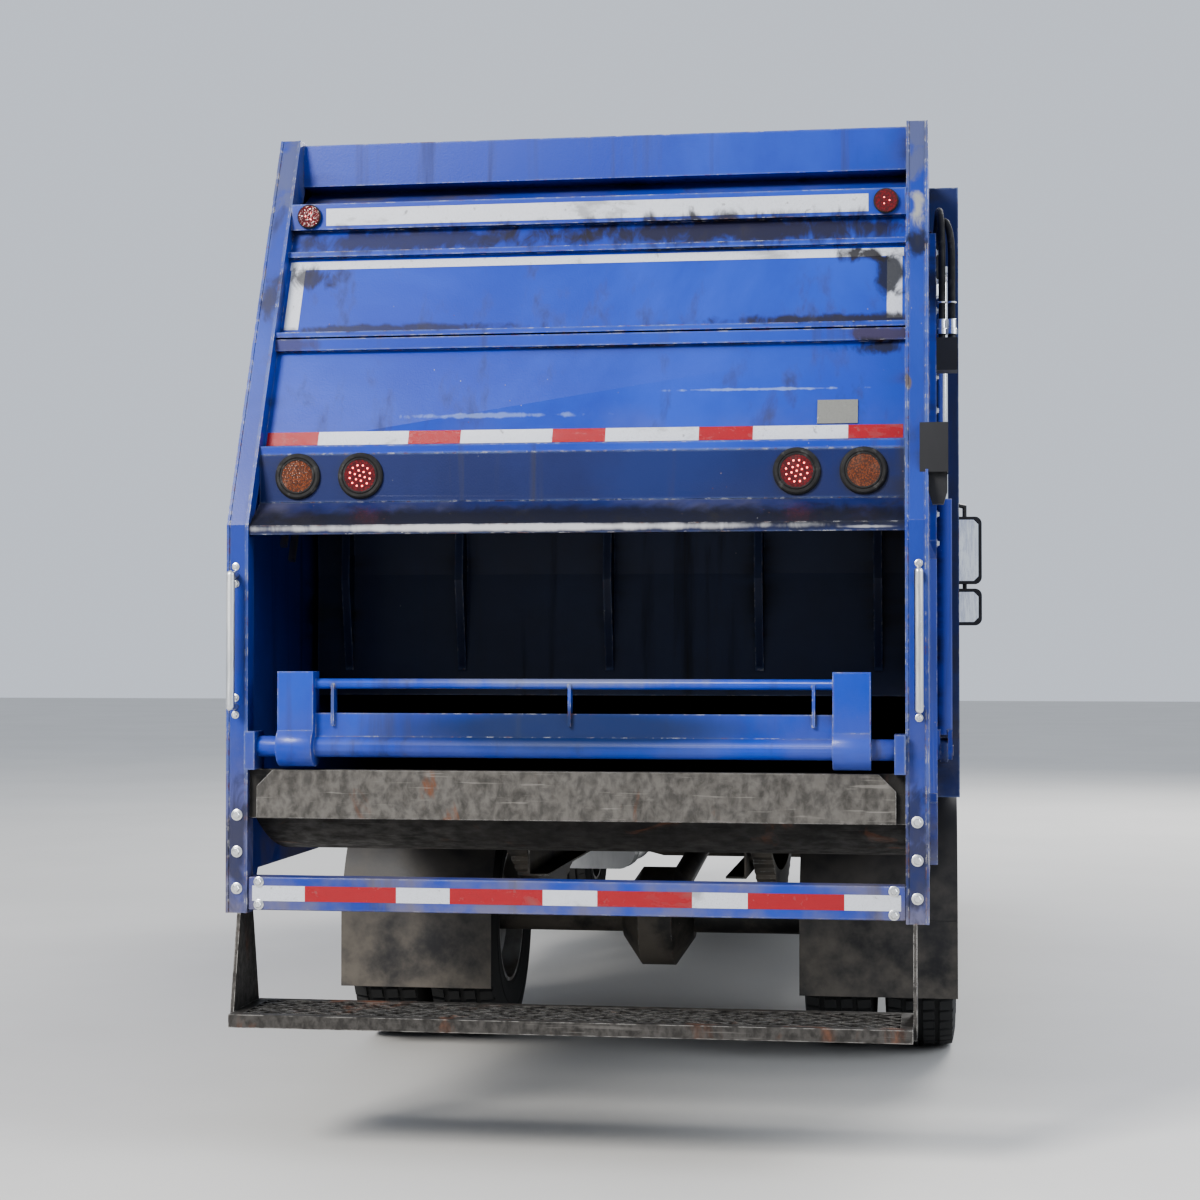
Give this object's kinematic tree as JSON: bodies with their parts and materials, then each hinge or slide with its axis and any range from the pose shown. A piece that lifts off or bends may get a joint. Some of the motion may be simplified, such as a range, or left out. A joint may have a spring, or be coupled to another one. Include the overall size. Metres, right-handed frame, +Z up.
{
  "type": "rear-loading refuse truck",
  "caption": "Cab-over refuse collection truck with a ribbed steel body, lifting rear hopper, sliding and sweeping packer, push plate, bin lifter, riding step and steered wheels.",
  "frame": {"origin": "middle of the truck on the road, under the centre of its overall box", "axes": "+Y forwards along the truck, +X to its right side, +Z up"},
  "size_m": [2.9, 8.19, 3.5598],
  "materials": {
    "blue_paint": "medium royal blue, scraped and dirty",
    "dark_steel": "black chassis paint with road dirt",
    "worn_steel": "worn grey steel with rust",
    "bright_steel": "bright tube",
    "rod_chrome": "ground and plated",
    "tyre_rubber": "dusty",
    "wheel_paint": "silver wheel paint",
    "dark_plastic": "grained",
    "seat_fabric": "woven",
    "clear_glass": "lightly tinted",
    "lamp_clear": "clear lamp lens",
    "lamp_red": "red lens",
    "lamp_amber": "amber lens",
    "container_steel": "blue, dirtier low down"
  },
  "bodies": {
    "truck": {"chassis_frame": "dark_steel", "powertrain": "dark_steel", "front_axle": "dark_steel", "rear_axle": "dark_steel", "leaf_springs": "dark_steel", "front_bumper": "dark_plastic", "headlamps": "lamp_clear", "cab_steps": "dark_plastic", "front_mudguards": "dark_plastic", "rear_mudguards": "dark_plastic", "fuel_tank": "bright_steel", "battery_box": "dark_plastic", "side_guards": "bright_steel", "body_floor": "worn_steel", "body_walls": "container_steel", "body_roof": "container_steel", "body_front": "container_steel", "rear_frame": "blue_paint"},
    "cab": {"cab_floor": "dark_steel", "cab_front": "blue_paint", "cab_back": "blue_paint", "cab_roof": "blue_paint", "cab_glass": "clear_glass", "dashboard": "dark_plastic", "seats": "seat_fabric", "mirrors": "dark_plastic"},
    "right_door": {"door_right": "blue_paint", "door_glass_right": "clear_glass"},
    "left_door": {"door_left": "blue_paint", "door_glass_left": "clear_glass"},
    "right_knuckle": {"knuckle_right": "dark_steel"},
    "left_knuckle": {"knuckle_left": "dark_steel"},
    "right_front_wheel": {"front_tyre_right": "tyre_rubber", "front_wheel_right": "wheel_paint"},
    "left_front_wheel": {"front_tyre_left": "tyre_rubber", "front_wheel_left": "wheel_paint"},
    "right_rear_wheels": {"rear_tyres_right": "tyre_rubber", "rear_wheels_right": "wheel_paint"},
    "left_rear_wheels": {"rear_tyres_left": "tyre_rubber", "rear_wheels_left": "wheel_paint"},
    "tailgate": {"tailgate_sides": "blue_paint", "tail_posts": "blue_paint", "guide_rails": "worn_steel", "tailgate_cover": "blue_paint", "hopper_bucket": "worn_steel", "sill_plate": "worn_steel", "lamp_panel": "blue_paint", "stop_lamps": "lamp_red", "turn_lamps": "lamp_amber", "rear_bar": "blue_paint", "rear_step": "worn_steel", "grab_rails": "bright_steel", "packer_barrels": "dark_steel", "control_box": "dark_plastic"},
    "packer_carriage": {"carriage": "worn_steel"},
    "packer_blade": {"sweep_blade": "worn_steel"},
    "bin_lifter": {"lifter": "blue_paint"},
    "lift_cylinder_barrels": {"lift_barrels": "blue_paint"},
    "lift_cylinder_rods": {"lift_rods": "rod_chrome"},
    "ejector_plate": {"ejector": "worn_steel"}
  },
  "joints": [
    {"name": "cab_tilt", "type": "hinge", "parent": "truck", "child": "cab", "pos_m": [0, 3.945, 1.085], "axis": [-1, 0, 0], "range_deg": [0, 50]},
    {"name": "door_right_hinge", "type": "hinge", "parent": "cab", "child": "right_door", "pos_m": [1.174, 3.884, 1.8], "axis": [0, 0, 1], "range_deg": [0, 70]},
    {"name": "door_left_hinge", "type": "hinge", "parent": "cab", "child": "left_door", "pos_m": [-1.174, 3.884, 1.8], "axis": [0, 0, -1], "range_deg": [0, 70]},
    {"name": "steer_right", "type": "hinge", "parent": "truck", "child": "right_knuckle", "pos_m": [0.89, 2.755, 0.512], "axis": [0, 0, 1], "range_deg": [-38, 38]},
    {"name": "steer_left", "type": "hinge", "parent": "truck", "child": "left_knuckle", "pos_m": [-0.89, 2.755, 0.512], "axis": [0, 0, 1], "range_deg": [-38, 38]},
    {"name": "front_wheel_right_spin", "type": "hinge", "parent": "right_knuckle", "child": "right_front_wheel", "pos_m": [1.04, 2.755, 0.512], "axis": [1, 0, 0], "continuous": true},
    {"name": "front_wheel_left_spin", "type": "hinge", "parent": "left_knuckle", "child": "left_front_wheel", "pos_m": [-1.04, 2.755, 0.512], "axis": [1, 0, 0], "continuous": true},
    {"name": "rear_wheels_right_spin", "type": "hinge", "parent": "truck", "child": "right_rear_wheels", "pos_m": [0.932, -1.545, 0.512], "axis": [1, 0, 0], "continuous": true},
    {"name": "rear_wheels_left_spin", "type": "hinge", "parent": "truck", "child": "left_rear_wheels", "pos_m": [-0.932, -1.545, 0.512], "axis": [1, 0, 0], "continuous": true},
    {"name": "tailgate_lift", "type": "hinge", "parent": "truck", "child": "tailgate", "pos_m": [0, -2.245, 3.505], "axis": [-1, 0, 0], "range_deg": [0, 80]},
    {"name": "lift_cylinder_swing", "type": "hinge", "parent": "truck", "child": "lift_cylinder_barrels", "pos_m": [0, -2.357, 1.255], "axis": [1, 0, 0], "range_deg": [0, 5.25]},
    {"name": "lift_cylinder_stroke", "type": "slide", "parent": "lift_cylinder_barrels", "child": "lift_cylinder_rods", "axis": [0, -0.0597, 0.9982], "range_m": [0, 0.6089]},
    {"name": "carriage_slide", "type": "slide", "parent": "tailgate", "child": "packer_carriage", "axis": [0, -0.4049, -0.9143], "range_m": [0, 0.56]},
    {"name": "blade_swing", "type": "hinge", "parent": "packer_carriage", "child": "packer_blade", "pos_m": [0, -3.03824, 2.31204], "axis": [-1, 0, 0], "range_deg": [-25, 45]},
    {"name": "lifter_tip", "type": "hinge", "parent": "tailgate", "child": "bin_lifter", "pos_m": [0, -3.955, 1.325], "axis": [1, 0, 0], "range_deg": [-30, 130]},
    {"name": "ejector_slide", "type": "slide", "parent": "truck", "child": "ejector_plate", "axis": [0, -1, 0], "range_m": [0, 3.7]}
  ],
  "couplings": [
    {"joint": "steer_left", "follows": "steer_right", "ratio": 1},
    {"joint": "lift_cylinder_swing", "follows": "tailgate_lift", "ratio": 0.065601},
    {"joint": "lift_cylinder_stroke", "follows": "tailgate_lift", "m_per_rad": 0.43601}
  ]
}
